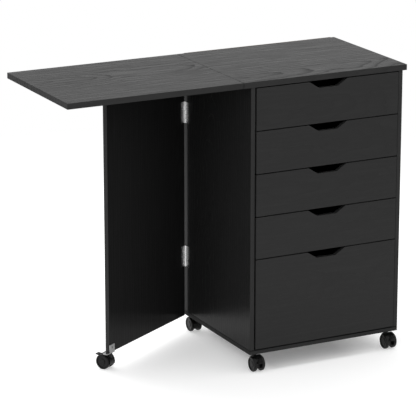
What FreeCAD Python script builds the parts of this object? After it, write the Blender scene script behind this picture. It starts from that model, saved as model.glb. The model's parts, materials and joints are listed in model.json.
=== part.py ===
import FreeCAD, Part
import math
import os

from FreeCAD import Placement, Rotation, Vector

# Folding desk: drawer cabinet on casters, fixed top, drop leaf and a gate panel that carries the leaf.
# While it is built, X is 0 at the cabinet's left face, Y is 0 at its front edges, Z is 0 at the floor.

# Boards
board = 12.0
top_board = 15.0
thin_board = 3.0
edge_ease = 0.6
board_fit = 0.1

# Cabinet
cabinet_width = 440.0
cabinet_depth = 372.0
carcass_height = 704.0

# Worktop
front_overhang = 4.0
right_overhang = 10.0
seam = 0.9
leaf_length = 477.1
leaf_hang_clearance = 4.8

# Drawers
small_drawers = 4
drawer_pitch = 112.0
front_gap = 2.5
front_proud = 3.5
front_corner_radius = 1.5
wall = 12.0
box_side_gap = 5.0
box_rear_gap = 22.0
wall_lift = 6.0
wall_drop = 20.0
bottom_lift = 8.0
bottom_groove = 5.0
notch_top_width = 110.0
notch_bottom_width = 55.0
notch_depth = 17.5
notch_entry_radius = 6.0
notch_corner_radius = 9.0

# Drawer rails
rail_height = 12.0
rail_bite = 6.0
rail_stop_gap = 0.3
rail_rear_setback = 32.0
rail_lift = 40.0
rail_upper_play = 0.3
rail_lower_play = 0.7
rail_side_play = 0.5
rail_counterbore = 6.0
rail_screw_inset = 40.0

# Butt hinges
knuckle_radius = 2.6
knuckle_count = 5
knuckle_gap = 0.3
plate_thickness = 1.1
plate_width = 15.5
pin_radius = 1.3
pin_clearance = 0.05
pin_overhang = 0.6
plate_screw_offset = 9.5
plate_end_margin = 9.0

# Gate
gate_open_angle = 59.0
gate_front_setback = 4.0
gate_hinge_setback = 8.0
gate_hinge_length = 57.0
gate_hinge_rise = (139.0, 534.0)
gate_screws_per_plate = 3
gate_top_clearance = 1.3
glide_radius = 5.0
glide_play = 0.3
glide_inset = 12.0
spigot_radius = 3.0
spigot_length = 8.0

# Leaf hinges under the seam
leaf_hinge_length = 50.0
leaf_hinge_count = 3
leaf_hinge_margin = 45.0
leaf_screws_per_plate = 2

# Gate caster bracket
bracket_thickness = 2.0
bracket_width = 21.0
bracket_rise = 21.0
bracket_reach = 14.0
bracket_corner_radius = 2.0
bracket_stem_clearance = 0.2
bracket_screw_margin = 0.8

# Casters
wheel_radius = 20.0
wheel_width = 8.8
wheel_shoulder_radius = 3.5
wheel_inner_radius = 1.5
wheel_cap_radius = 8.0
wheel_ring_radius = 14.5
wheel_ring_depth = 1.8
wheel_cap_depth = 0.6
wheel_cap_wall = 2.2
axle_radius = 3.0
axle_end_play = 0.3
running_clearance = 0.05
press_clearance = 0.02
trail = 14.0
body_width = 13.6
wheel_side_gap = 0.4
web_inset = 2.0
web_floor = 9.0
web_front = 9.0
web_step = 4.0
guard_gap = 0.8
guard_thickness = 1.8
guard_width = 22.0
guard_start_angle = 75.0
guard_end_angle = 195.0
socket_radius = 6.5
socket_rise = 0.4
stem_radius = 4.0
stem_socket_depth = 15.0
stem_end_play = 0.3
neck_length = 2.8
collar_radius = 6.0
collar_thickness = 1.2
insert_radius = 5.0
insert_length = 10.0
stem_insert_depth = 9.0
caster_side_inset = 23.0
caster_end_inset = 20.0
gate_caster_inset = 10.0

# Brake pedals
pedal_pivot_inset = 5.0
pedal_pivot_angle = 50.0
pedal_arm_width = 4.8
pedal_arm_half = 3.0
pedal_slot_clearance = 0.3
pedal_boss_radius = 2.6
pedal_arm_length = 9.0
pedal_arm_angle = 20.0
pedal_pin_radius = 1.5
pad_length = 11.0
pad_thickness = 2.4
pad_side_clearance = 0.6
pad_tilt = 9.0
pad_setback = 3.0
pad_tip_radius = 1.0
pedal_travel = 28.0

# Fasteners
wood_screw_head = 3.4
wood_screw_shank = 1.75
wood_screw_length = 11.0
screw_cross_length = 3.7
screw_cross_width = 0.9
screw_cross_depth = 1.0
screw_hole_mouth = 1.0
screw_clearance = 0.05
long_screw_head = 5.0
long_screw_shank = 3.0
long_screw_length = 50.0
dowel_radius = 3.0
dowel_in_edge = 15.0
dowel_in_face = 8.0
dowel_inset = 60.0
cam_radius = 6.0
cam_depth = 9.5
cam_drop = 24.0
cam_inset = 105.0
cam_bolt_radius = 2.5
cam_bolt_in_top = 10.0
hole_clearance = 0.05
hole_end_room = 0.5
nail_radius = 0.8
nail_length = 14.0
nail_head_radius = 2.0
nail_head_thickness = 0.6
nails_per_side = 5
nails_per_end = 3
nail_margin = 30.0

# Directions
LEFT = Vector(-1, 0, 0)
RIGHT = Vector(1, 0, 0)
FRONT = Vector(0, -1, 0)
BACK = Vector(0, 1, 0)
DOWN = Vector(0, 0, -1)
UP = Vector(0, 0, 1)

# Heights and places that follow from the sizes above
axle_height = wheel_radius
guard_inner = wheel_radius + guard_gap
guard_outer = guard_inner + guard_thickness
socket_top = axle_height + guard_outer + socket_rise
caster_height = socket_top + neck_length + collar_thickness
bottom_face = caster_height
floor_inside = bottom_face + board
top_underside = bottom_face + carcass_height
top_face = top_underside + top_board
left_overhang = 2 * knuckle_radius + board + leaf_hang_clearance
leaf_right = -left_overhang - seam
leaf_left = leaf_right - leaf_length
body_half = body_width / 2
wheel_inner = body_half + wheel_side_gap
wheel_outer = wheel_inner + wheel_width
web_radius = wheel_radius - web_inset
pedal_pivot_radius = wheel_radius - pedal_pivot_inset
pad_half = wheel_inner - pad_side_clearance
rail_thickness = box_side_gap + rail_bite
front_rear = board - front_proud
stem_bottom = socket_top - stem_socket_depth + stem_end_play

# Gate in its folded place, flat against the cabinet's left side
hinge_x = -knuckle_radius
hinge_y = cabinet_depth - gate_hinge_setback
gate_inner = -2 * knuckle_radius
gate_outer = gate_inner - board
gate_middle = (gate_inner + gate_outer) / 2
gate_top = top_underside - 2 * knuckle_radius - gate_top_clearance
gate_caster_y = gate_front_setback + gate_caster_inset

# Leaf hinge axis, under the middle of the seam
leaf_hinge_x = -left_overhang - seam / 2
leaf_hinge_z = top_underside - knuckle_radius


def box(x0, x1, y0, y1, z0, z1):
    return Part.makeBox(x1 - x0, y1 - y0, z1 - z0, Vector(x0, y0, z0))


def eased_board(x0, x1, y0, y1, z0, z1):
    """Coated board with its edges slightly rounded."""
    plain = box(x0, x1, y0, y1, z0, z1)
    return plain.makeFillet(edge_ease, plain.Edges)


def rod(radius, start, direction, length):
    return Part.makeCylinder(radius, length, start, direction)


def placed(shape, position, direction=UP):
    """Copy of a shape made along +Z at the origin, turned to a direction and set at a position."""
    copy = shape.copy()
    copy.Placement = Placement(position, Rotation(UP, direction))
    return copy


def spread(first, last, count):
    """Evenly spaced values from first to last."""
    return [first + (last - first) * i / (count - 1) for i in range(count)]


def rounded_outline(corners, radii):
    """Closed wire through flat corners, each rounded by an arc of its own radius."""
    joints = []
    for i, corner in enumerate(corners):
        before = (corners[i - 1] - corner).normalize()
        after = (corners[(i + 1) % len(corners)] - corner).normalize()
        if radii[i] == 0:
            joints.append((corner, None, corner))
            continue
        half = before.getAngle(after) / 2
        reach = radii[i] / math.tan(half)
        middle = (before + after).normalize() * (radii[i] / math.sin(half) - radii[i])
        joints.append((corner + before * reach, corner + middle, corner + after * reach))
    edges = []
    for i, (start, middle, end) in enumerate(joints):
        if middle is not None:
            edges.append(Part.Arc(start, middle, end).toShape())
        following = joints[(i + 1) % len(joints)][0]
        edges.append(Part.LineSegment(end, following).toShape())
    return Part.Wire(edges)


def prism(corners, radii, sweep):
    return Part.Face(rounded_outline(corners, radii)).extrude(sweep)


def flat_points(points, y):
    """Points given as (x, z), set in the plane of one y."""
    return [Vector(x, y, z) for x, z in points]


def turned(corners, radii, axis):
    """Solid of revolution about a line through the origin."""
    return Part.Face(rounded_outline(corners, radii)).revolve(Vector(0, 0, 0), axis, 360)


def screw(head_radius, shank_radius, length, grow=0.0):
    """Countersunk screw driven along +Z, head flush with Z = 0. With grow, the hole it sits in."""
    cone = head_radius - shank_radius
    tip = 2 * shank_radius
    profile = [(head_radius + grow, 0), (shank_radius + grow, cone), (shank_radius + grow, length - tip)]
    if grow:
        mouth = [(0, -screw_hole_mouth), (head_radius + grow, -screw_hole_mouth)]
        profile = mouth + profile + [(grow, length + grow), (0, length + grow)]
    else:
        profile = [(0, 0)] + profile + [(0, length)]
    corners = [Vector(r, 0, z) for r, z in profile]
    return turned(corners, [0] * len(corners), UP)


def with_cross(blank):
    """Cuts a cross recess into a screw's head."""
    long_half = screw_cross_length / 2
    short_half = screw_cross_width / 2
    bars = [
        box(-long_half, long_half, -short_half, short_half, 0, screw_cross_depth),
        box(-short_half, short_half, -long_half, long_half, 0, screw_cross_depth),
    ]
    return blank.cut(bars)


WOOD_SCREW = with_cross(screw(wood_screw_head, wood_screw_shank, wood_screw_length))
WOOD_SCREW_HOLE = screw(wood_screw_head, wood_screw_shank, wood_screw_length, screw_clearance)
LONG_SCREW = with_cross(screw(long_screw_head, long_screw_shank, long_screw_length))
LONG_SCREW_HOLE = screw(long_screw_head, long_screw_shank, long_screw_length, screw_clearance)


def at_seats(shape, seats):
    """Copies of a fastener, or of its hole, at each seat of a list of (position, direction)."""
    return [placed(shape, position, direction) for position, direction in seats]


def hinge_half(length, side, first):
    """Half of a butt hinge: pin on Z from 0 to length, plate towards -Y against X = side * knuckle_radius."""
    near, far = sorted((side * knuckle_radius, side * (knuckle_radius - plate_thickness)))
    half = box(near, far, -plate_width, 0, 0, length)
    pitch = length / knuckle_count
    barrels = []
    for i in range(knuckle_count):
        low = i * pitch + (knuckle_gap / 2 if i else 0)
        high = (i + 1) * pitch - (knuckle_gap / 2 if i < knuckle_count - 1 else 0)
        if i % 2 == first:
            barrels.append(rod(knuckle_radius, Vector(0, 0, low), UP, high - low))
        else:
            half = half.cut(rod(knuckle_radius + knuckle_gap, Vector(0, 0, i * pitch), UP, pitch))
    half = half.fuse(barrels)
    return half.cut(rod(pin_radius + pin_clearance, Vector(0, 0, 0), UP, length))


def plate_seats(length, side, count):
    """Screw seats of a hinge half, driven through its plate into the board behind it."""
    x = side * (knuckle_radius - plate_thickness)
    heights = spread(plate_end_margin, length - plate_end_margin, count)
    return [(Vector(x, -plate_screw_offset, z), Vector(side, 0, 0)) for z in heights]


def hinge_pin(length):
    return rod(pin_radius, Vector(0, 0, -pin_overhang), UP, length + 2 * pin_overhang)


def carried(shape, placement):
    copy = shape.copy()
    copy.Placement = placement.multiply(copy.Placement)
    return copy


def carried_seats(seats, placement):
    return [(placement.multVec(p), placement.Rotation.multVec(d)) for p, d in seats]


def opened(shape):
    """The gate's pieces are made folded and then swung out to the angle of the open desk."""
    copy = shape.copy()
    copy.rotate(Vector(hinge_x, hinge_y, 0), UP, -gate_open_angle)
    return copy


def gate_hinge_frames():
    return [Placement(Vector(hinge_x, hinge_y, bottom_face + rise), Rotation()) for rise in gate_hinge_rise]


def leaf_hinge_frames(turn):
    """Frames of the hinges under the seam, plate upwards; turn is 0 for the fixed half, 180 for the leaf's."""
    lie_flat = Rotation(UP, LEFT, FRONT, "ZXY")
    first = leaf_hinge_margin + leaf_hinge_length
    last = cabinet_depth - leaf_hinge_margin
    rests = spread(first, last, leaf_hinge_count)
    spin = Rotation(UP, turn)
    return [Placement(Vector(leaf_hinge_x, y, leaf_hinge_z), lie_flat.multiply(spin)) for y in rests]


def front_bottom(index):
    """Lower edge of a drawer front, counted from 0 at the top."""
    if index == small_drawers:
        return floor_inside + front_gap
    return top_underside - (index + 1) * drawer_pitch


def front_top(index):
    return top_underside - front_gap - index * drawer_pitch


def rail_bottom(index):
    return front_bottom(index) + wall_lift + rail_lift + rail_lower_play


def drawer_front(index):
    """Inset front with a trapezoid finger notch in its upper edge, all corners rounded."""
    left = board + front_gap
    right = cabinet_width - board - front_gap
    centre = cabinet_width / 2
    low = front_bottom(index)
    high = front_top(index)
    sill = high - notch_depth
    points = [
        (left, low), (right, low), (right, high),
        (centre + notch_top_width / 2, high), (centre + notch_bottom_width / 2, sill),
        (centre - notch_bottom_width / 2, sill), (centre - notch_top_width / 2, high), (left, high),
    ]
    corner = front_corner_radius
    entry = notch_entry_radius
    inner = notch_corner_radius
    radii = [corner, corner, corner, entry, inner, inner, entry, corner]
    front = prism(flat_points(points, -front_proud), radii, BACK * board)
    rim = [e for e in front.Edges if e.BoundBox.YMax < edge_ease - front_proud]
    front = front.makeFillet(edge_ease, rim)
    floor = front_bottom(index) + wall_lift + bottom_lift
    groove = box(
        board + box_side_gap + wall - bottom_groove, cabinet_width - board - box_side_gap - wall + bottom_groove,
        front_rear - bottom_groove, front_rear, floor - board_fit, floor + thin_board + board_fit,
    )
    return front.cut(groove)


def drawer_walls(index):
    """Two grooved side walls and the back wall of a drawer box."""
    low = front_bottom(index) + wall_lift
    high = front_top(index) - wall_drop
    rear = cabinet_depth - box_rear_gap
    floor = low + bottom_lift
    rail = rail_bottom(index)
    outer_left = board + box_side_gap
    outer_right = cabinet_width - outer_left
    walls = []
    for outer, inward in ((outer_left, 1), (outer_right, -1)):
        inner = outer + inward * wall
        solid = box(min(outer, inner), max(outer, inner), front_rear, rear, low, high)
        rail_slot = sorted((outer, outer + inward * (rail_bite + rail_side_play)))
        floor_slot = sorted((inner, inner - inward * bottom_groove))
        solid = solid.cut([
            box(*rail_slot, front_rear, rear, rail - rail_lower_play, rail + rail_height + rail_upper_play),
            box(*floor_slot, front_rear, rear, floor - board_fit, floor + thin_board + board_fit),
        ])
        walls.append(solid)
    over_floor = floor + thin_board + board_fit
    walls.append(box(outer_left + wall, outer_right - wall, rear - wall, rear, over_floor, high))
    return Part.makeCompound(walls)


def drawer_bottom(index):
    low = front_bottom(index) + wall_lift + bottom_lift
    side = board + box_side_gap + wall - bottom_groove + board_fit
    rear = cabinet_depth - box_rear_gap
    return box(side, cabinet_width - side, front_rear - bottom_groove + board_fit, rear, low, low + thin_board)


def rail_and_seats(index, left):
    """One rail on a cabinet side, which also stops the closed drawer, and the seats of its screws."""
    face = board if left else cabinet_width - board
    inward = 1 if left else -1
    span = sorted((face, face + inward * rail_thickness))
    front = front_rear + rail_stop_gap
    rear = cabinet_depth - rail_rear_setback
    low = rail_bottom(index)
    rail = eased_board(*span, front, rear, low, low + rail_height)
    head = face + inward * (rail_thickness - rail_counterbore)
    drive = Vector(-inward, 0, 0)
    seats = []
    for y in (front + rail_screw_inset, rear - rail_screw_inset):
        seats.append((Vector(head, y, low + rail_height / 2), drive))
        wide = rod(wood_screw_head + hole_clearance, seats[-1][0], drive * -1, rail_counterbore)
        rail = rail.cut(wide)
    return rail.cut(at_seats(WOOD_SCREW_HOLE, seats)), seats


def edge_rows(inset):
    """Places along the depth of the cabinet where its joints sit."""
    return (inset, cabinet_depth - inset)


def joint_columns():
    """Middle of each side panel's thickness."""
    return (board / 2, cabinet_width - board / 2)


def dowels(grow=0.0, room=0.0):
    """Dowels between the side panels and the top, and between the side panels and the bottom."""
    pins = []
    for x in joint_columns():
        for y in edge_rows(dowel_inset):
            length = dowel_in_edge + dowel_in_face + 2 * room
            low_start = Vector(x, y, floor_inside - dowel_in_face - room)
            high_start = Vector(x, y, top_underside - dowel_in_edge - room)
            pins.append(rod(dowel_radius + grow, low_start, UP, length))
            pins.append(rod(dowel_radius + grow, high_start, UP, length))
    return pins


def cam_places():
    """Face centre and inward drilling direction of each cam lock."""
    places = []
    for x, drill in ((board, LEFT), (cabinet_width - board, RIGHT)):
        for y in edge_rows(cam_inset):
            places.append((Vector(x, y, top_underside - cam_drop), drill))
    return places


def cam_bolts(grow=0.0, room=0.0):
    bolts = []
    for x in joint_columns():
        for y in edge_rows(cam_inset):
            start = Vector(x, y, top_underside - cam_drop - room)
            bolts.append(rod(cam_bolt_radius + grow, start, UP, cam_drop + cam_bolt_in_top + 2 * room))
    return bolts


def cam_locks(grow=0.0, room=0.0):
    return [rod(cam_radius + grow, place, drill, cam_depth + room) for place, drill in cam_places()]


def long_screw_seats():
    return [(Vector(x, y, bottom_face), UP) for x in joint_columns() for y in edge_rows(cam_inset)]


def nail_seats():
    """Nails of the back panel into the rear edges of the sides, the bottom and the top."""
    rear = cabinet_depth + thin_board
    seats = []
    for x in joint_columns():
        for z in spread(floor_inside + nail_margin, top_underside - nail_margin, nails_per_side):
            seats.append((Vector(x, rear, z), FRONT))
    for z in (bottom_face + board / 2, top_underside + top_board / 2):
        for x in spread(2 * nail_margin, cabinet_width - 2 * nail_margin, nails_per_end):
            seats.append((Vector(x, rear, z), FRONT))
    return seats


def nail():
    head = rod(nail_head_radius, Vector(0, 0, -nail_head_thickness), UP, nail_head_thickness)
    return head.fuse(rod(nail_radius, Vector(0, 0, 0), UP, nail_length))


def nail_hole():
    return rod(nail_radius + hole_clearance, Vector(0, 0, 0), UP, nail_length + hole_end_room)


def caster_stem(x, y, seat):
    """Stem with its collar under a seat height, threaded end above the cabinet's underside."""
    top = bottom_face + stem_insert_depth
    shaft = rod(stem_radius, Vector(x, y, stem_bottom), UP, top - stem_bottom)
    return shaft.fuse(rod(collar_radius, Vector(x, y, seat - collar_thickness), UP, collar_thickness))


def insert_nut(x, y):
    sleeve = rod(insert_radius, Vector(x, y, bottom_face), UP, insert_length)
    return sleeve.cut(rod(stem_radius + hole_clearance, Vector(x, y, bottom_face), UP, insert_length))


def insert_hole(x, y):
    return rod(insert_radius + hole_clearance, Vector(x, y, bottom_face), UP, insert_length + hole_end_room)


def axle_line(radius, half_length):
    """Cylinder on the wheel axle of a caster whose stem is the Z axis and whose wheels trail towards +X."""
    return rod(radius, Vector(trail, -half_length, axle_height), BACK, 2 * half_length)


def caster_wheels():
    """Twin wheels with a rounded shoulder, a ring groove and a closed hub cap, pressed on one axle."""
    bore = axle_radius + press_clearance
    inner = wheel_inner
    outer = wheel_outer
    cap = outer - wheel_cap_depth
    ring = outer - wheel_ring_depth
    profile = [
        (0, cap, 0), (wheel_cap_radius, cap, 0), (wheel_cap_radius + wheel_cap_depth, ring, 0),
        (wheel_ring_radius, ring, 0), (wheel_ring_radius + wheel_cap_depth, outer, 0),
        (wheel_radius, outer, wheel_shoulder_radius), (wheel_radius, inner, wheel_inner_radius),
        (bore, inner, 0), (bore, cap - wheel_cap_wall, 0), (0, cap - wheel_cap_wall, 0),
    ]
    right = turned([Vector(r, y, 0) for r, y, _ in profile], [round_off for _, _, round_off in profile], BACK)
    left = right.mirror(Vector(0, 0, 0), BACK)
    pair = [right, left]
    for wheel in pair:
        wheel.translate(Vector(trail, 0, axle_height))
    return Part.makeCompound(pair)


def caster_axle():
    half = wheel_outer - wheel_cap_depth - wheel_cap_wall - axle_end_play
    return axle_line(axle_radius, half)


def around_axle(radius, angle):
    """Point (x, z) at an angle above the trailing side of the wheel axle."""
    turn = math.radians(angle)
    return (trail + radius * math.cos(turn), axle_height + radius * math.sin(turn))


def guard_sector(half):
    """Wedge from the axle that holds the arc covered by the mudguard."""
    reach = 2 * guard_outer
    middle = (guard_start_angle + guard_end_angle) / 2
    points = [around_axle(0, 0)]
    points += [around_axle(reach, angle) for angle in (guard_start_angle, middle, guard_end_angle)]
    corners = flat_points(points, -half)
    return prism(corners, [0] * len(corners), BACK * (2 * half))


def pressed_arm_drop(pivot_x):
    """Depth under its pivot that the pressed pedal's arm reaches inside the web."""
    slope = math.radians(pedal_travel - pedal_arm_angle)
    run = web_radius - (pivot_x - trail)
    return pedal_arm_width / 2 / math.cos(slope) + max(0, math.tan(slope) * run)


def caster_hood(braked):
    """Hood of a twin-wheel caster: web between the wheels, mudguard over them and socket for the stem."""
    guard_half = guard_width / 2
    guard = axle_line(guard_outer, guard_half).cut(axle_line(guard_inner, guard_half))
    guard = guard.common(guard_sector(guard_half))
    filling = axle_line(guard_inner + guard_thickness / 2, body_half).common(guard_sector(body_half))
    web = axle_line(web_radius, body_half)
    socket = rod(socket_radius, Vector(0, 0, axle_height), UP, socket_top - axle_height)
    hood = web.fuse([filling, guard, socket])
    under = box(-2 * guard_outer, 3 * guard_outer, -body_half, body_half, 0, web_floor)
    open_front = box(trail + web_front, 3 * guard_outer, -body_half, body_half, 0, axle_height + web_step)
    stem_bore = rod(
        stem_radius + running_clearance, Vector(0, 0, socket_top - stem_socket_depth), UP, stem_socket_depth
    )
    cuts = [under, open_front, stem_bore, axle_line(axle_radius + running_clearance, body_half)]
    if braked:
        pivot_x, pivot_z = around_axle(pedal_pivot_radius, pedal_pivot_angle)
        slot_half = pedal_arm_half + pedal_slot_clearance
        room = pedal_boss_radius + 2 * pedal_slot_clearance
        floor = pivot_z - max(room, pressed_arm_drop(pivot_x) + pedal_slot_clearance)
        cuts.append(box(
            pivot_x - room, pivot_x + 2 * guard_outer, -slot_half, slot_half, floor, pivot_z + guard_outer
        ))
        cuts.append(rod(
            pedal_pin_radius + running_clearance, Vector(pivot_x, -body_half, pivot_z), BACK, body_width
        ))
    return hood.cut(cuts).removeSplitter()


def brake_pedal(pressed):
    """Pedal with a pad between the wheels, an arm in the hood's slot and trunnions in its cheeks."""
    pivot_x, pivot_z = around_axle(pedal_pivot_radius, pedal_pivot_angle)
    pivot = Vector(pivot_x, 0, pivot_z)
    along = Vector(math.cos(math.radians(pedal_arm_angle)), 0, math.sin(math.radians(pedal_arm_angle)))
    across = Vector(-along.z, 0, along.x) * (pedal_arm_width / 2)
    inward = Vector(0, -pedal_arm_half, 0)
    end = pivot + along * pedal_arm_length
    arm_corners = [pivot + across, pivot - across, end - across, end + across]
    arm = prism([c + inward for c in arm_corners], [0] * 4, BACK * (2 * pedal_arm_half))
    boss = rod(pedal_boss_radius, pivot + inward, BACK, 2 * pedal_arm_half)
    pin_half = body_half - pedal_slot_clearance
    pin = rod(pedal_pin_radius, pivot + Vector(0, -pin_half, 0), BACK, 2 * pin_half)
    outward = Vector(math.cos(math.radians(pad_tilt)), 0, math.sin(math.radians(pad_tilt)))
    raised = Vector(-outward.z, 0, outward.x) * pad_thickness
    root = end - outward * pad_setback - raised / 2 + Vector(0, -pad_half, 0)
    tip = root + outward * pad_length
    pad_corners = [root, tip, tip + raised, root + raised]
    pad = prism(pad_corners, [pad_tip_radius] * 4, BACK * (2 * pad_half))
    pedal = arm.fuse([boss, pin, pad])
    if pressed:
        pedal.rotate(pivot, BACK, pedal_travel)
    return pedal


def stand(shape, x, y, heading):
    """Sets a caster's piece under its stem, with the wheels trailing towards a heading."""
    copy = shape.copy()
    copy.Placement = Placement(Vector(x, y, 0), Rotation(UP, heading)).multiply(copy.Placement)
    return copy


# Name, stem x and y, heading of the trailing wheels, braked, pedal pressed
right_x = cabinet_width - caster_side_inset
rear_y = cabinet_depth - caster_end_inset
cabinet_casters = [
    ("front_left", caster_side_inset, caster_end_inset, -90, True, True),
    ("front_right", right_x, caster_end_inset, -90, True, True),
    ("rear_left", caster_side_inset, rear_y, 90, False, False),
    ("rear_right", right_x, rear_y, 90, False, False),
]
gate_caster = ("gate", gate_middle, gate_caster_y, 180, True, False)


def caster_pieces(name, x, y, heading, braked, pressed):
    pieces = {
        f"caster_{name}_hood": caster_hood(braked),
        f"caster_{name}_wheels": caster_wheels(),
        f"caster_{name}_axle": caster_axle(),
    }
    if braked:
        pieces[f"caster_{name}_pedal"] = brake_pedal(pressed)
    return {node: stand(shape, x, y, heading) for node, shape in pieces.items()}


def carcass():
    """Cabinet boards, drilled for everything that is fastened to them, and the fasteners."""
    sides = {
        "left_side_panel": eased_board(0, board, 0, cabinet_depth, floor_inside, top_underside),
        "right_side_panel": eased_board(
            cabinet_width - board, cabinet_width, 0, cabinet_depth, floor_inside, top_underside
        ),
    }
    bottom = eased_board(0, cabinet_width, 0, cabinet_depth, bottom_face, floor_inside)
    top = eased_board(
        -left_overhang, cabinet_width + right_overhang, -front_overhang, cabinet_depth, top_underside, top_face
    )
    back = box(0, cabinet_width, cabinet_depth, cabinet_depth + thin_board, bottom_face, top_face)

    rails = []
    side_seats = {"left_side_panel": [], "right_side_panel": []}
    for index in range(small_drawers + 1):
        for node, left in (("left_side_panel", True), ("right_side_panel", False)):
            rail, seats = rail_and_seats(index, left)
            rails.append(rail)
            side_seats[node] += seats

    gate_plates = []
    pins = []
    for frame in gate_hinge_frames():
        seats = plate_seats(gate_hinge_length, 1, gate_screws_per_plate)
        plate = hinge_half(gate_hinge_length, 1, 0).cut(at_seats(WOOD_SCREW_HOLE, seats))
        gate_plates.append(carried(plate, frame))
        side_seats["left_side_panel"] += carried_seats(seats, frame)
        pins.append(carried(hinge_pin(gate_hinge_length), frame))

    top_plates = []
    leaf_pins = []
    top_seats = []
    for frame in leaf_hinge_frames(0):
        seats = plate_seats(leaf_hinge_length, 1, leaf_screws_per_plate)
        plate = hinge_half(leaf_hinge_length, 1, 0).cut(at_seats(WOOD_SCREW_HOLE, seats))
        top_plates.append(carried(plate, frame))
        top_seats += carried_seats(seats, frame)
        leaf_pins.append(carried(hinge_pin(leaf_hinge_length), frame))

    joints = dowels(hole_clearance, hole_end_room) + cam_bolts(hole_clearance, hole_end_room)
    nails = at_seats(nail_hole(), nail_seats())
    long_holes = at_seats(LONG_SCREW_HOLE, long_screw_seats())
    stems = [(x, y) for _, x, y, *_ in cabinet_casters]
    for node, side in sides.items():
        drilled = joints + cam_locks(hole_clearance, hole_end_room) + nails + long_holes
        sides[node] = side.cut(drilled + at_seats(WOOD_SCREW_HOLE, side_seats[node]))
    bottom = bottom.cut(joints + nails + long_holes + [insert_hole(x, y) for x, y in stems])
    top = top.cut(joints + nails + at_seats(WOOD_SCREW_HOLE, top_seats))
    locks = [lock.cut(cam_bolts(hole_clearance, hole_end_room)) for lock in cam_locks()]
    wood_seats = side_seats["left_side_panel"] + side_seats["right_side_panel"] + top_seats
    return {
        **sides,
        "bottom_panel": bottom,
        "fixed_top": top,
        "back_panel": back.cut(nails),
        "drawer_rails": Part.makeCompound(rails),
        "cabinet_wood_screws": Part.makeCompound(at_seats(WOOD_SCREW, wood_seats)),
        "cam_fasteners": Part.makeCompound(locks + cam_bolts()),
        "panel_dowels": Part.makeCompound(dowels()),
        "bottom_screws": Part.makeCompound(at_seats(LONG_SCREW, long_screw_seats())),
        "back_panel_nails": Part.makeCompound(at_seats(nail(), nail_seats())),
        "gate_hinge_cabinet_plates": Part.makeCompound(gate_plates),
        "gate_hinge_pins": Part.makeCompound(pins),
        "leaf_hinge_top_plates": Part.makeCompound(top_plates),
        "leaf_hinge_pins": Part.makeCompound(leaf_pins),
        "caster_insert_nuts": Part.makeCompound([insert_nut(x, y) for x, y in stems]),
        "caster_stems": Part.makeCompound([caster_stem(x, y, bottom_face) for x, y in stems]),
    }


def leaf():
    """Drop leaf with its halves of the hinges under the seam."""
    panel = eased_board(leaf_left, leaf_right, -front_overhang, cabinet_depth, top_underside, top_face)
    plates = []
    seats = []
    for frame in leaf_hinge_frames(180):
        local = plate_seats(leaf_hinge_length, -1, leaf_screws_per_plate)
        plate = hinge_half(leaf_hinge_length, -1, 1).cut(at_seats(WOOD_SCREW_HOLE, local))
        plates.append(carried(plate, frame))
        seats += carried_seats(local, frame)
    return {
        "leaf_panel": panel.cut(at_seats(WOOD_SCREW_HOLE, seats)),
        "leaf_hinge_leaf_plates": Part.makeCompound(plates),
        "leaf_wood_screws": Part.makeCompound(at_seats(WOOD_SCREW, seats)),
    }


def caster_bracket():
    """Angle plate under the gate's free end: flange on the inner face, foot under the lower edge."""
    end = gate_front_setback
    flange_face = gate_inner + bracket_thickness
    foot = prism(
        [Vector(gate_outer, end - bracket_reach, bottom_face - bracket_thickness),
         Vector(flange_face, end - bracket_reach, bottom_face - bracket_thickness),
         Vector(flange_face, end + bracket_width, bottom_face - bracket_thickness),
         Vector(gate_outer, end + bracket_width, bottom_face - bracket_thickness)],
        [bracket_corner_radius, bracket_corner_radius, 0, bracket_corner_radius],
        UP * bracket_thickness,
    )
    flange = prism(
        [Vector(gate_inner, end, bottom_face - bracket_thickness),
         Vector(gate_inner, end + bracket_width, bottom_face - bracket_thickness),
         Vector(gate_inner, end + bracket_width, bottom_face + bracket_rise),
         Vector(gate_inner, end, bottom_face + bracket_rise)],
        [0, 0, bracket_corner_radius, bracket_corner_radius],
        RIGHT * bracket_thickness,
    )
    return foot.fuse(flange).removeSplitter()


def bracket_seats():
    """One screw through the flange into the gate, one through the foot into its lower edge."""
    end = gate_front_setback
    over_insert = insert_length + hole_end_room + wood_screw_shank + bracket_screw_margin
    side = Vector(gate_inner + bracket_thickness, end + bracket_width / 2, bottom_face + over_insert)
    foot = Vector(gate_middle, end + bracket_width - wood_screw_head, bottom_face - bracket_thickness)
    return [(side, LEFT), (foot, UP)]


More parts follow.
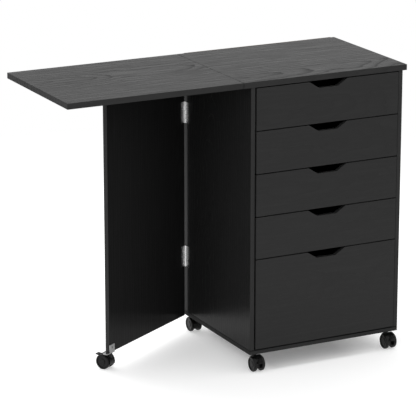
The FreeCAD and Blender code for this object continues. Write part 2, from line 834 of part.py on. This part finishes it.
def gate():
    """Gate panel with its hinge halves, caster bracket, stem and the glide that carries the leaf."""
    panel = eased_board(gate_outer, gate_inner, gate_front_setback, hinge_y, bottom_face, gate_top)
    plates = []
    seats = []
    for frame in gate_hinge_frames():
        local = plate_seats(gate_hinge_length, -1, gate_screws_per_plate)
        plate = hinge_half(gate_hinge_length, -1, 1).cut(at_seats(WOOD_SCREW_HOLE, local))
        plates.append(carried(plate, frame))
        seats += carried_seats(local, frame)
    seats += bracket_seats()
    x, y = gate_middle, gate_caster_y
    glide_foot = Vector(x, gate_front_setback + glide_inset, gate_top)
    glide = rod(glide_radius, glide_foot, UP, top_underside - glide_play - gate_top)
    glide = glide.makeFillet(edge_ease, [e for e in glide.Edges if e.BoundBox.ZMin > gate_top + edge_ease])
    glide = glide.fuse(rod(spigot_radius, glide_foot, DOWN, spigot_length))
    spigot_hole = rod(spigot_radius + hole_clearance, glide_foot, DOWN, spigot_length + hole_end_room)
    holes = at_seats(WOOD_SCREW_HOLE, seats)
    stem_hole = rod(
        stem_radius + bracket_stem_clearance, Vector(x, y, bottom_face - bracket_thickness), UP, bracket_thickness
    )
    folded = {
        "gate_panel": panel.cut(holes + [spigot_hole, insert_hole(x, y)]),
        "gate_hinge_gate_plates": Part.makeCompound(plates),
        "gate_wood_screws": Part.makeCompound(at_seats(WOOD_SCREW, seats)),
        "caster_bracket": caster_bracket().cut(at_seats(WOOD_SCREW_HOLE, bracket_seats()) + [stem_hole]),
        "leaf_glide": glide,
        "gate_insert_nut": insert_nut(x, y),
        "gate_caster_stem": caster_stem(x, y, bottom_face - bracket_thickness),
        **caster_pieces(*gate_caster),
    }
    return {node: opened(shape) for node, shape in folded.items()}


def drawers():
    pieces = {}
    for index in range(small_drawers + 1):
        name = f"drawer_{index + 1}"
        pieces[f"{name}_front"] = drawer_front(index)
        pieces[f"{name}_walls"] = drawer_walls(index)
        pieces[f"{name}_bottom"] = drawer_bottom(index)
    return pieces


pieces = {**carcass(), **leaf(), **gate(), **drawers()}
for caster in cabinet_casters:
    pieces.update(caster_pieces(*caster))

# The finished desk's origin is on the floor, under the middle of its bounding box
bounds = Part.makeCompound(list(pieces.values())).optimalBoundingBox(False, False)
to_origin = Vector(-(bounds.XMin + bounds.XMax) / 2, -(bounds.YMin + bounds.YMax) / 2, 0)

os.makedirs("parts", exist_ok=True)
for node, shape in pieces.items():
    shape.translate(to_origin)
    shape.exportStep(f"parts/{node}.step")
print(len(pieces), "nodes, box", round(bounds.XLength, 2), round(bounds.YLength, 2), round(bounds.ZLength, 2))
print("shift", to_origin, "lowest", round(bounds.ZMin, 4))
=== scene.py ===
import json
import math

import bpy
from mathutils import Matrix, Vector


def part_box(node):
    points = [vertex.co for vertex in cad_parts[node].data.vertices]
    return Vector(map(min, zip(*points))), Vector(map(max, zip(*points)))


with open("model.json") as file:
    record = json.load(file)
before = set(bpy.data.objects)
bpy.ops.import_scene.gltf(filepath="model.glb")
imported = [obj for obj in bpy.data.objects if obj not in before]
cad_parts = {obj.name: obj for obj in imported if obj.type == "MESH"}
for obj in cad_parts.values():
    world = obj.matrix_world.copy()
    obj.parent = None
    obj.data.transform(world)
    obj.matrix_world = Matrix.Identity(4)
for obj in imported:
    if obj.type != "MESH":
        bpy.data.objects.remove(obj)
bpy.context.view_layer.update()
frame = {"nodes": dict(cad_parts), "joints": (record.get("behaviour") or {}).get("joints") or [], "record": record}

nodes = frame["nodes"]
slot_of = {part["node"]: part["material_slot"] for part in frame["record"]["subparts"]}
gate_hinge = next(joint for joint in frame["joints"] if joint["name"] == "gate_hinge")

# Camera, fitted to the corners of the worktop, the cabinet and the drawer gaps
camera_place = (-2.756, -5.4046, 2.141)
camera_turn = 27.0
camera_tilt = 16.04
camera_lens = 211.4
camera_sensor = 36.0
camera_reach = 100.0

# Studio: soft sky, brighter at the horizon than overhead, and one large lamp behind the desk
sky_low = 1.45
sky_high = 0.85
lamp_aim = (0.0, 0.0, 0.5)
lamp_direction = (-0.1, 0.78, 0.62)
lamp_distance = 3.4
lamp_size = 3.0
lamp_power = 50.0

# Floor: its paint with a faint mottle, the grey that lights the desk from below, and its glow as seen
floor_colour = 0.82
floor_mottle = (0.99, 1.0)
floor_noise = (2.0, (2.0, 0.55))
floor_roughness = 0.7
floor_bounce = 0.32
floor_glow = 0.38

# Floor: the shadow painted under the cabinet and its soft edges, where it clears to white, and half its side
floor_painted_shadow = 0.6
floor_painted_shadow_edges = (((0.03, 0.08), (-0.15, -0.02)), ((-0.012, 0.0), (0.0, 0.05)))
floor_clear = (1.2, 2.4)
floor_reach = 9.0

# Spans that stretch one noise, or the sum of two, to their full reach, and the turn from one face to the next
noise_reach = (0.3, 0.7)
sum_reach = (0.7, 1.3)
face_turn = (0.4, 0.6)

# Noises of the wood print: waves per metre along and across the grain, then detail, roughness and distortion
waver_noise = ((5.0, 7.0), (2.0, 0.5))
ripple_noise = ((14.0, 22.0), (2.0, 0.5))
fray_noise = ((16.0, 130.0), (3.0, 0.6))
streak_noise = ((7.0, 150.0), (4.0, 0.62))
pore_noise = ((38.0, 1000.0), (2.0, 0.5))
band_noise = ((5.0, 70.0), (3.0, 0.65, 0.4))
ripple_seed = 5.0
band_seed = 11.0

# Wood print, lengths in metres: depth of the pith and of its waver, fray of the rings, sides of the heart
pith_depth = 0.03
waver_depth = 0.085
fray_depth = 0.006
heart_sides = (0.03, 0.1)

# Wood print, tones: streaks from dark to light and where they let ring lines through, pores, bands, embossing
streak_tones = (0.3, 1.0)
line_reach = (0.35, 0.65)
pore_reach = (0.55, 0.72)
pore_tone = 0.35
band_reach = (0.36, 0.5)
emboss_strength = 0.4

# Board edges: tones of a tape, how squarely a taped edge faces its way, and the painted shade below a joint
tape_tones = (0.85, 1.1)
tape_turn = (0.8, 0.97)
joint_shade_grey = 0.001
joint_shade_width = (0.0015, 0.0025)


class Wiring:
    """A node tree in the making, with short ways to add nodes and join them."""

    def __init__(self, tree):
        self.tree = tree

    def feed(self, socket, value):
        """Links a socket to another one, or sets a plain value on it."""
        if isinstance(value, bpy.types.NodeSocket):
            self.tree.links.new(value, socket)
        else:
            socket.default_value = value

    def node(self, kind, inputs=None, **settings):
        made = self.tree.nodes.new(kind)
        for key, value in settings.items():
            setattr(made, key, value)
        for key, value in (inputs or {}).items():
            self.feed(made.inputs[key], value)
        return made

    def math(self, operation, a, b=0.0, c=0.0, clamp=False):
        made = self.node("ShaderNodeMath", {0: a, 1: b, 2: c}, operation=operation, use_clamp=clamp)
        return made.outputs[0]

    def vector_math(self, operation, a, b=(0, 0, 0)):
        return self.node("ShaderNodeVectorMath", {0: a, 1: b}, operation=operation).outputs

    def span(self, value, low, high, to_low=0.0, to_high=1.0):
        """Value stretched from one span to another, held at its ends."""
        ends = {"Value": value, "From Min": low, "From Max": high, "To Min": to_low, "To Max": to_high}
        return self.node("ShaderNodeMapRange", ends).outputs[0]

    def axes(self, vector):
        return self.node("ShaderNodeSeparateXYZ", {0: vector}).outputs

    def seen_or_mirrored(self):
        """1 for rays of the camera, of reflections and of glass, 0 for rays that light other surfaces."""
        path = self.node("ShaderNodeLightPath").outputs
        share = self.math("MAXIMUM", path["Is Camera Ray"], path["Is Glossy Ray"])
        return self.math("MAXIMUM", share, path["Is Transmission Ray"])


class Finish(Wiring):
    """A material in the making: its shader, and where each point of the piece lies and faces at rest."""

    def __init__(self, name):
        self.material = bpy.data.materials.new(name)
        self.material.use_nodes = True
        super().__init__(self.material.node_tree)
        self.shader = self.tree.nodes["Principled BSDF"]
        coordinates = self.node("ShaderNodeTexCoord").outputs
        self.place = coordinates["Object"]
        self.facing = coordinates["Normal"]

    def paint(self, **values):
        """Feeds the shader's own sockets, with the spaces in their names written as underscores."""
        for key, value in values.items():
            self.feed(self.shader.inputs[key.replace("_", " ")], value)

    def noise(self, vector, detail, roughness, distortion=0.0):
        shape = {"Scale": 1.0, "Detail": detail, "Roughness": roughness, "Distortion": distortion}
        return self.node("ShaderNodeTexNoise", {"Vector": vector} | shape).outputs[0]

    def speckle(self, per_metre, shape, shift=(0, 0, 0)):
        """Noise with some waves per metre, along each axis or along all, moved by a shift.

        Its shape is its detail and its roughness.
        """
        scale = per_metre if isinstance(per_metre, tuple) else (per_metre,) * 3
        moved = self.node("ShaderNodeMapping", {"Vector": self.place, "Scale": scale, "Location": shift})
        return self.noise(moved.outputs[0], *shape)

    def mixed(self, share, first, second):
        """Colour between two others."""
        return self.node("ShaderNodeMix", {0: share, 6: first, 7: second}, data_type="RGBA").outputs[2]

    def toned(self, share, level, tones):
        """Grey between two tones, which are shares of its level."""
        return self.mixed(share, grey(level * tones[0]), grey(level * tones[1]))

    def relief(self, height, depth, strength):
        """Surface relief of a depth in metres."""
        sizes = {"Height": height, "Distance": depth, "Strength": strength}
        return self.node("ShaderNodeBump", sizes).outputs[0]


class Board(Finish):
    """A wood print in the making: where each point lies along the grain, across it and into the board.

    Grain is two letters, the axis that the grain follows and the one across it. Turn swings both round Z.
    """

    def __init__(self, name, grain, seed, turn):
        super().__init__(name)
        self.seed = seed
        turned = self.node("ShaderNodeMapping", {"Vector": self.place, "Rotation": (0, 0, turn)}).outputs[0]
        places = self.axes(turned)
        third = ({"x", "y", "z"} - set(grain)).pop()
        self.along, self.across, self.into = (places["xyz".index(axis)] for axis in (*grain, third))

    def drawn_out(self, per_metre, shape, seed=0.0):
        """Noise drawn out along the grain: each place times its waves per metre, with a seed per board."""
        along, across = per_metre
        steps = {
            0: self.math("MULTIPLY", self.along, along),
            1: self.math("MULTIPLY", self.across, across),
            2: self.math("MULTIPLY_ADD", self.into, across, self.seed + seed),
        }
        return self.noise(self.node("ShaderNodeCombineXYZ", steps).outputs[0], *shape)

    def swayed(self, value, noise, depth):
        """Value plus a noise that swings about nought, times its depth."""
        return self.math("MULTIPLY_ADD", self.math("SUBTRACT", noise, 0.5), depth, value)


def grey(level):
    return (level, level, level, 1.0)


def ring_lines(board, heart, streaks, wood):
    """Dark lines of the growth rings, which are cylinders round a pith.

    The pith runs along the board and slowly nears its face. The distance to it is the root of the squared
    place aside from the heart line plus the squared depth. That times the rings per metre has a fraction that
    rises from 0 to 1 in each ring, and a power of it leaves a thin line at the ring's end, so the lines close
    into long arches over the heart line. They show where the streaks let them through.
    """
    ahead = board.math("SUBTRACT", board.along, heart[0])
    pith = board.math("MULTIPLY_ADD", ahead, wood["taper"], pith_depth)
    pith = board.swayed(pith, board.drawn_out(*waver_noise), waver_depth)
    aside = board.math("SUBTRACT", board.across, heart[1])
    if wood["ripple"]:
        aside = board.swayed(aside, board.drawn_out(*ripple_noise, ripple_seed), wood["ripple"])
    squares = board.math("MULTIPLY_ADD", aside, aside, board.math("MULTIPLY", pith, pith))
    radius = board.swayed(board.math("SQRT", squares), board.drawn_out(*fray_noise), fray_depth)
    ring = board.math("FRACT", board.math("MULTIPLY", radius, wood["rings"]))
    line = board.math("POWER", ring, wood["line"])
    line = board.math("MULTIPLY", line, board.span(streaks, *line_reach))
    depth = board.span(board.math("ABSOLUTE", aside), *heart_sides, *wood["line_depths"])
    return board.math("MULTIPLY", line, depth)


def taped_edge(board, colour, tone, direction, level):
    """Colour with a paler tape on the edge whose facing, times the direction as a dot product, is near 1."""
    faced = board.vector_math("DOT_PRODUCT", board.facing, direction)["Value"]
    return board.mixed(board.span(faced, *tape_turn), colour, board.toned(tone, level, tape_tones))


def joint_painted_shade(board, colour, height):
    """Colour with painted shade, a thin dark line just below a joint's height, left off where the face looks up.
    """
    below = board.math("SUBTRACT", height, board.axes(board.place)["Z"])
    upward = board.axes(board.facing)["Z"]
    unshaded = board.math("MAXIMUM", board.span(below, *joint_shade_width), board.span(upward, *face_turn))
    return board.mixed(unshaded, grey(joint_shade_grey), colour)


def woodgrain(name, grain, heart, seed, wood, turn=0.0, tape=None, joint=None):
    """Black wood-grain melamine, printed and pressed like a flat-sawn board.

    Its tone is the streaks, less the ring lines and less the pores, times the broad bands. Heart is where the
    arches of the ring lines lie, along the grain and across it. Tape is the direction that a taped edge faces
    and the grey of the tape. Joint is the height of a joint with another board.
    """
    board = Board(name, grain, seed, turn)
    streaks = board.drawn_out(*streak_noise)
    pores = board.span(board.drawn_out(*pore_noise), *pore_reach)
    tone = board.span(streaks, *noise_reach, *streak_tones)
    tone = board.math("SUBTRACT", tone, ring_lines(board, heart, streaks, wood))
    tone = board.math("MULTIPLY_ADD", pores, -pore_tone, tone, clamp=True)
    if wood["bands"]:
        bands = board.drawn_out(*band_noise, band_seed)
        tone = board.math("MULTIPLY", tone, board.span(bands, *band_reach, 1.0 - wood["bands"], 1.0))
    colour = board.mixed(tone, grey(wood["dark"]), grey(wood["light"]))
    if tape:
        colour = taped_edge(board, colour, tone, *tape)
    # Painted shade: a thin near-black line just below the joint on upright faces
    if joint:
        colour = joint_painted_shade(board, colour, joint)
    board.paint(
        Base_Color=colour,
        Roughness=board.span(tone, 0.0, 1.0, *wood["gloss"]),
        IOR=wood["ior"],
        Normal=board.relief(tone, wood["relief"], emboss_strength),
    )
    return board.material


def hardboard(name, flat_axis, shift):
    """Thin fibre board, flat across one axis.

    Its faces have a black foil with a faint fibre, its upright edges are black, and its level edges are raw
    tan fibres.
    """
    foil = (grey(0.02), grey(0.035))
    edge_foil = grey(0.004)
    raw_fibre = ((0.05, 0.029, 0.014, 1.0), (0.095, 0.058, 0.03, 1.0))
    fibre_noise = (420.0, (4.0, 0.65))
    fibre_relief = (0.0001, 0.3)
    dust_noise = (9.0, (3.0, 0.55))
    rough = (0.4, 0.6)
    foil_ior = 1.22
    finish = Finish(name)
    facing = finish.axes(finish.facing)
    fibres = finish.speckle(*fibre_noise, shift)
    dust = finish.speckle(*dust_noise, shift)
    face = finish.mixed(finish.span(finish.math("ADD", fibres, dust), *sum_reach), *foil)
    raw = finish.mixed(finish.span(fibres, *noise_reach), *raw_fibre)
    level = finish.math("ABSOLUTE", facing["Z"])
    edge = finish.mixed(finish.span(level, *face_turn), edge_foil, raw)
    flat = finish.math("ABSOLUTE", facing["xyz".index(flat_axis)])
    finish.paint(
        Base_Color=finish.mixed(finish.span(flat, *face_turn), edge, face),
        Roughness=finish.span(fibres, *noise_reach, *rough),
        IOR=foil_ior,
        Normal=finish.relief(fibres, *fibre_relief),
    )
    return finish.material


def painted_hinge_highlight(finish, colour, lines, level, radius):
    """Colour with a painted highlight: brighter steel out to a radius round the gate hinge's upright axis.

    The distance from the axis is measured in plan, after each point's height is multiplied by 0.
    """
    highlight_tones = (0.9, 1.05)
    soft_edge = (radius, radius * 1.1)
    plan = finish.vector_math("MULTIPLY", finish.place, (1.0, 1.0, 0.0))["Vector"]
    away = finish.vector_math("DISTANCE", plan, (*gate_axis, 0.0))["Value"]
    return finish.mixed(finish.span(away, *soft_edge), finish.toned(lines, level, highlight_tones), colour)


def steel(name, level, roughness, lines_per_metre, hinge_highlight=None):
    """Plated steel with fine rolling lines and faint smudges.

    The last argument is the level of a painted highlight, brighter steel round the gate hinge, and its radius.
    """
    tones = (0.85, 1.1)
    rough = (roughness * 0.75, roughness * 1.3)
    line_shape = (3.0, 0.6)
    line_relief = (0.00004, 0.25)
    smudge_noise = (60.0, (3.0, 0.55))
    finish = Finish(name)
    lines = finish.speckle(lines_per_metre, line_shape)
    smudges = finish.speckle(*smudge_noise)
    colour = finish.toned(lines, level, tones)
    # Painted highlight: brighter steel near the gate hinge's upright axis
    if hinge_highlight:
        colour = painted_hinge_highlight(finish, colour, lines, *hinge_highlight)
    finish.paint(
        Base_Color=colour,
        Roughness=finish.span(finish.math("ADD", lines, smudges), *sum_reach, *rough),
        Metallic=1.0,
        Normal=finish.relief(lines, *line_relief),
    )
    return finish.material


def plastic(name, level, roughness, ior=1.3):
    """Moulded plastic with a fine spark-eroded grain and a trace of dust scattered by a noise."""
    grain_size = 0.0009
    grain_shape = (2.0, 0.6)
    grain_relief = (0.00005, 0.4)
    dust_noise = (70.0, (4.0, 0.6))
    dust_reach = (0.35, 0.75)
    dust_tones = (0.8, 1.5)
    rough = (roughness - 0.08, roughness + 0.1)
    finish = Finish(name)
    grain = finish.speckle(1.0 / grain_size, grain_shape)
    dust = finish.speckle(*dust_noise)
    finish.paint(
        Base_Color=finish.toned(finish.span(dust, *dust_reach), level, dust_tones),
        Roughness=finish.span(finish.math("ADD", grain, dust), *sum_reach, *rough),
        IOR=ior,
        Normal=finish.relief(grain, *grain_relief),
    )
    return finish.material


def beech(name):
    """Raw beech rod with a fleck along its length."""
    fleck_noise = ((900.0, 900.0, 60.0), (3.0, 0.55))
    wood = ((0.42, 0.27, 0.15, 1.0), (0.62, 0.45, 0.28, 1.0))
    rough = (0.5, 0.7)
    finish = Finish(name)
    fleck = finish.speckle(*fleck_noise)
    finish.paint(Base_Color=finish.mixed(fleck, *wood), Roughness=finish.span(fleck, *noise_reach, *rough))
    return finish.material


def wear(node, material):
    """Gives a CAD node its material."""
    slots = nodes[node].data.materials
    slots.clear()
    slots.append(material)


# Wood prints: darkest and lightest grey, refraction, roughness from dark to light, relief in metres, rings
# per metre, slope of the pith, sharpness of the ring lines, their depth at the heart and away from it, ripple
# of the lines in metres, and how much the broad bands darken
drawer_print = {
    "dark": 0.016,
    "light": 0.026,
    "ior": 1.15,
    "gloss": (0.3, 0.18),
    "relief": 0.0001,
    "rings": 95.0,
    "taper": 0.075,
    "line": 3.0,
    "line_depths": (0.8, 0.8),
    "ripple": 0.0,
    "bands": 0.0,
}
# Every board has the same melamine; the greys that differ between these prints are painted light and shade
worktop_print = drawer_print | {
    "dark": 0.014,
    "light": 0.0335,
    "ior": 1.115,
    "gloss": (0.46, 0.2),
    "relief": 0.00015,
    "rings": 62.0,
    "taper": 0.13,
    "line": 5.0,
    "line_depths": (1.5, 0.7),
    "ripple": 0.022,
    "bands": 0.15,
}
side_print = drawer_print | {"dark": 0.0145, "light": 0.0265, "ior": 1.14, "gloss": (0.3, 0.22)}
# The gate's darker greys are painted shade
gate_shaded_print = drawer_print | {"dark": 0.0125, "light": 0.0215, "gloss": (0.2, 0.14)}
bottom_print = drawer_print | {"dark": 0.024, "light": 0.032, "ior": 1.1, "gloss": (0.5, 0.4)}
front_print = drawer_print | {"dark": 0.02, "light": 0.0275, "ior": 1.23}

# Boards: the grain's axes, its heart and its seed. The gate stands open by the angle that its hinge can close
gate_turn = math.radians(-gate_hinge["range_deg"][0])
gate_tape = ((-math.sin(gate_turn), -math.cos(gate_turn), 0.0), 0.042)
front_tape = ((0.0, -1.0, 0.0), 0.036)
# Top of the bottom panel, below which a line of shade is painted on its upright edges
bottom_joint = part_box("bottom_panel")[1].z
wear("fixed_top", woodgrain("worktop_fixed", "xy", (0.1, -0.135), 3.0, worktop_print, tape=front_tape))
wear("leaf_panel", woodgrain("worktop_leaf", "xy", (-0.35, 0.045), 7.0, worktop_print, tape=front_tape))
wear("left_side_panel", woodgrain("left_side", "zy", (0.2, 0.05), 2.0, side_print, tape=front_tape))
wear("right_side_panel", woodgrain("right_side", "zy", (0.3, -0.04), 5.0, side_print, tape=front_tape))
wear("gate_panel", woodgrain("gate", "zy", (0.5, 0.1), 9.0, gate_shaded_print, turn=gate_turn, tape=gate_tape))
wear("bottom_panel", woodgrain("bottom", "xy", (0.2, 0.0), 4.0, bottom_print, 0.0, front_tape, bottom_joint))

# Drawer fronts: the heart wanders along the front and upwards from one drawer to the next
drawer_count = 5
front_heart_step = (0.05, 0.012)
front_heart_drop = 0.03
front_seed_step = 1.7
for number in range(1, drawer_count + 1):
    low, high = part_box(f"drawer_{number}_front")
    middle = (low.z + high.z) / 2 - front_heart_drop
    heart = (front_heart_step[0] * number, middle + front_heart_step[1] * number)
    front = woodgrain(f"drawer_front_{number}", "xz", heart, front_seed_step * number, front_print)
    wear(f"drawer_{number}_front", front)

# Other finishes, by the record's material slots, with a painted highlight on the gate hinge's barrel and screws
gate_axis = gate_hinge["pos_m"][:2]
barrel_highlight = (0.85, 0.0027)
screw_highlight = (0.5, 0.03)
other_finishes = {
    "drawer_board": woodgrain("drawer_foil", "yz", (0.0, 0.4), 0.9, drawer_print),
    "hardboard": hardboard("drawer_bottom_board", "z", (0.2, 0.1, 0.4)),
    "rail_plastic": plastic("rail_plastic", 0.03, 0.5),
    "zinc_steel": steel("zinc_steel", 0.25, 0.34, 900.0, screw_highlight),
    "hinge_steel": steel("hinge_steel", 0.46, 0.25, (700.0, 700.0, 10.0), barrel_highlight),
    "beech": beech("beech"),
    "nylon": plastic("nylon", 0.55, 0.4),
    "caster_plastic": plastic("caster_plastic", 0.003, 0.3),
    "pedal_plastic": plastic("pedal_plastic", 0.012, 0.35, 1.2),
}
for node, slot in slot_of.items():
    if slot in other_finishes:
        wear(node, other_finishes[slot])
wear("back_panel", hardboard("back_board", "y", (0.7, 0.3, 0.1)))
wear("caster_bracket", steel("bracket_steel", 0.36, 0.34, (500.0, 500.0, 90.0)))


def footprint(finish, node, edges):
    """1 under a node, 0 away from it, with soft edges.

    Along x and y, the edges are where the value rises past the node's low side and where it falls past its
    high side, as offsets from these sides, and the rises and falls are multiplied.
    """
    share = 1.0
    for axis, near, far, (rise, fall) in zip(finish.axes(finish.place), *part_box(node), edges):
        share = finish.math("MULTIPLY", finish.span(axis, near + rise[0], near + rise[1]), share)
        share = finish.math("MULTIPLY", finish.span(axis, far + fall[0], far + fall[1], 1.0, 0.0), share)
    return share


def floor_finish(name):
    """Pale paint that keeps the desk's shadow, adds a painted shadow under the cabinet and clears to white far
    away.

    The clear share goes from 0 to 1 with the distance from the desk. It takes the paint to black and the glow
    to 1, so that the far floor is white without shade. Rays that light the desk meet a plain grey.
    """
    finish = Finish(name)
    seen = finish.seen_or_mirrored()
    away = finish.vector_math("LENGTH", finish.place)["Value"]
    clear = finish.span(away, *floor_clear)
    paint = finish.toned(finish.speckle(*floor_noise), floor_colour, floor_mottle)
    paint = finish.mixed(clear, paint, grey(0.0))
    glow = finish.span(clear, 0.0, 1.0, floor_glow, 1.0)
    # Painted shadow: the glow dims over the bottom panel's footprint
    painted_shadow = finish.math("MULTIPLY_ADD", footprint(finish, "bottom_panel", floor_painted_shadow_edges), -floor_painted_shadow, 1.0)
    finish.paint(
        Base_Color=finish.mixed(seen, grey(floor_bounce), paint),
        Roughness=floor_roughness,
        Specular_IOR_Level=0.0,
        Emission_Color=grey(1.0),
        Emission_Strength=finish.math("MULTIPLY", seen, finish.math("MULTIPLY", glow, painted_shadow)),
    )
    return finish.material


def studio_floor():
    """One flat square sheet under the desk."""
    r = floor_reach
    sheet = bpy.data.meshes.new("studio_floor")
    sheet.from_pydata([(-r, -r, 0), (r, -r, 0), (r, r, 0), (-r, r, 0)], [], [(0, 1, 2, 3)])
    sheet.materials.append(floor_finish("studio_floor"))
    floor = bpy.data.objects.new("studio_floor", sheet)
    bpy.context.scene.collection.objects.link(floor)


def studio_world():
    """White to the eye and in reflections; for the rest a soft sky that changes from the horizon up."""
    world = bpy.data.worlds.new("studio")
    world.use_nodes = True
    bpy.context.scene.world = world
    wiring = Wiring(world.node_tree)
    height = wiring.axes(wiring.node("ShaderNodeTexCoord").outputs["Generated"])["Z"]
    sky = wiring.span(height, 0.0, 1.0, sky_low, sky_high)
    background = wiring.tree.nodes["Background"].inputs
    wiring.feed(background["Color"], grey(1.0))
    wiring.feed(background["Strength"], wiring.span(wiring.seen_or_mirrored(), 0.0, 1.0, sky, 1.0))


def back_lamp():
    """Large square lamp aimed at the desk, which lights it but doesn't show in its gloss."""
    lamp = bpy.data.lights.new("back_lamp", "AREA")
    lamp.energy = lamp_power
    lamp.size = lamp_size
    towards = Vector(lamp_direction).normalized()
    holder = bpy.data.objects.new("back_lamp", lamp)
    holder.location = Vector(lamp_aim) + towards * lamp_distance
    holder.rotation_euler = (-towards).to_track_quat("-Z", "Y").to_euler()
    holder.visible_glossy = False
    bpy.context.scene.collection.objects.link(holder)


def photo_camera():
    """Camera at the photo's angle, turned to the right round Z and tilted down."""
    lens = bpy.data.cameras.new("photo_camera")
    lens.lens = camera_lens
    lens.sensor_width = camera_sensor
    lens.clip_end = camera_reach
    camera = bpy.data.objects.new("photo_camera", lens)
    camera.location = camera_place
    camera.rotation_euler = (math.radians(90 - camera_tilt), 0.0, math.radians(-camera_turn))
    bpy.context.scene.collection.objects.link(camera)
    bpy.context.scene.camera = camera


studio_floor()
studio_world()
back_lamp()
photo_camera()
bpy.context.scene.view_settings.view_transform = "Standard"
